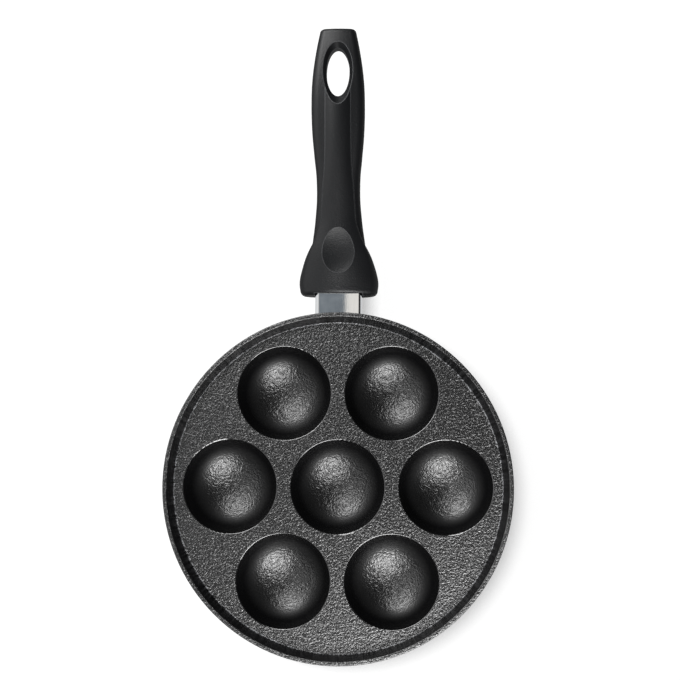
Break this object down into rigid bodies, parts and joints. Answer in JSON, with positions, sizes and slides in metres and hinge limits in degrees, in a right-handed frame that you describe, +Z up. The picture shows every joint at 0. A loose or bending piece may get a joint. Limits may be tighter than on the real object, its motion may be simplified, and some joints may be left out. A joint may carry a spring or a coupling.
{
  "type": "aebleskiver pan",
  "caption": "Round cast pan with bowl-shaped wells in a recessed plate, and a moulded handle with a hang hole, joined through a steel sleeve.",
  "frame": {"origin": "middle of the centre well's foot, on the surface the pan stands on", "axes": "+Z up out of the wells, +Y along the handle away from the pan, +X to the right seen from the pan's side with the handle pointing away"},
  "size_m": [0.2, 0.36, 0.0537],
  "materials": {
    "coated_casting": "black non-stick coating with a fine cast grain",
    "insert_steel": "plain machined",
    "sleeve_steel": "polished",
    "grip_moulding": "matt soft-touch black",
    "fastener_steel": "zinc plated"
  },
  "bodies": {
    "root": {"pan_casting": "coated_casting", "threaded_insert": "insert_steel", "ferrule": "sleeve_steel", "grip": "grip_moulding", "flat_washer": "fastener_steel", "spring_washer": "fastener_steel", "handle_bolt": "fastener_steel"}
  },
  "joints": []
}
